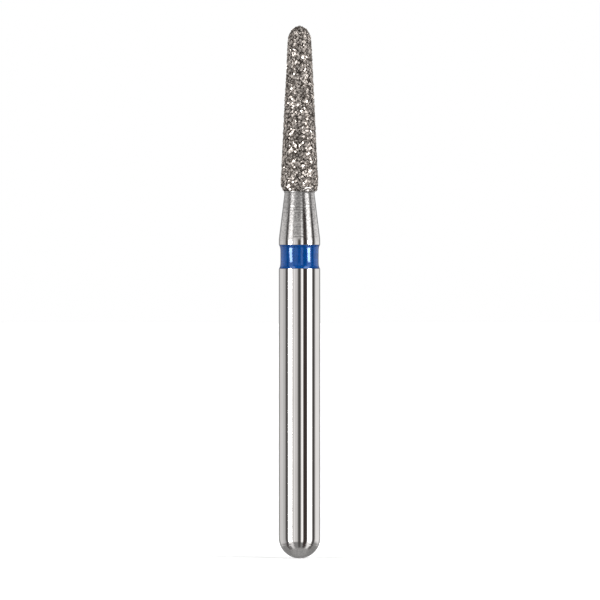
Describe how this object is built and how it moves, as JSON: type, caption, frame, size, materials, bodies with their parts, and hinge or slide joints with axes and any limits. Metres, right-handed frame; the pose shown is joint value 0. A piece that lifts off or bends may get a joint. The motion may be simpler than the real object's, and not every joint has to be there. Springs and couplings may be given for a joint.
{
  "type": "tapered round-end diamond bur",
  "caption": "Slender dental bur with a plain domed shank, a coloured grit ring, a tapered neck and a tapered round-ended head coated in diamond grit.",
  "frame": {"origin": "apex of the domed shank end, on the bur's axis", "axes": "+Z along the bur's axis, from the shank end towards the tip of the head"},
  "size_m": [0.0016, 0.0016, 0.0206],
  "materials": {
    "stainless_steel": "polished, with fine turning marks",
    "blue_lacquer": "glossy lacquer",
    "nickel_diamond": "rough, diamond crystals bonded in nickel"
  },
  "bodies": {
    "root": {"steel_blank": "stainless_steel", "colour_ring": "blue_lacquer", "diamond_coat": "nickel_diamond"}
  },
  "joints": []
}
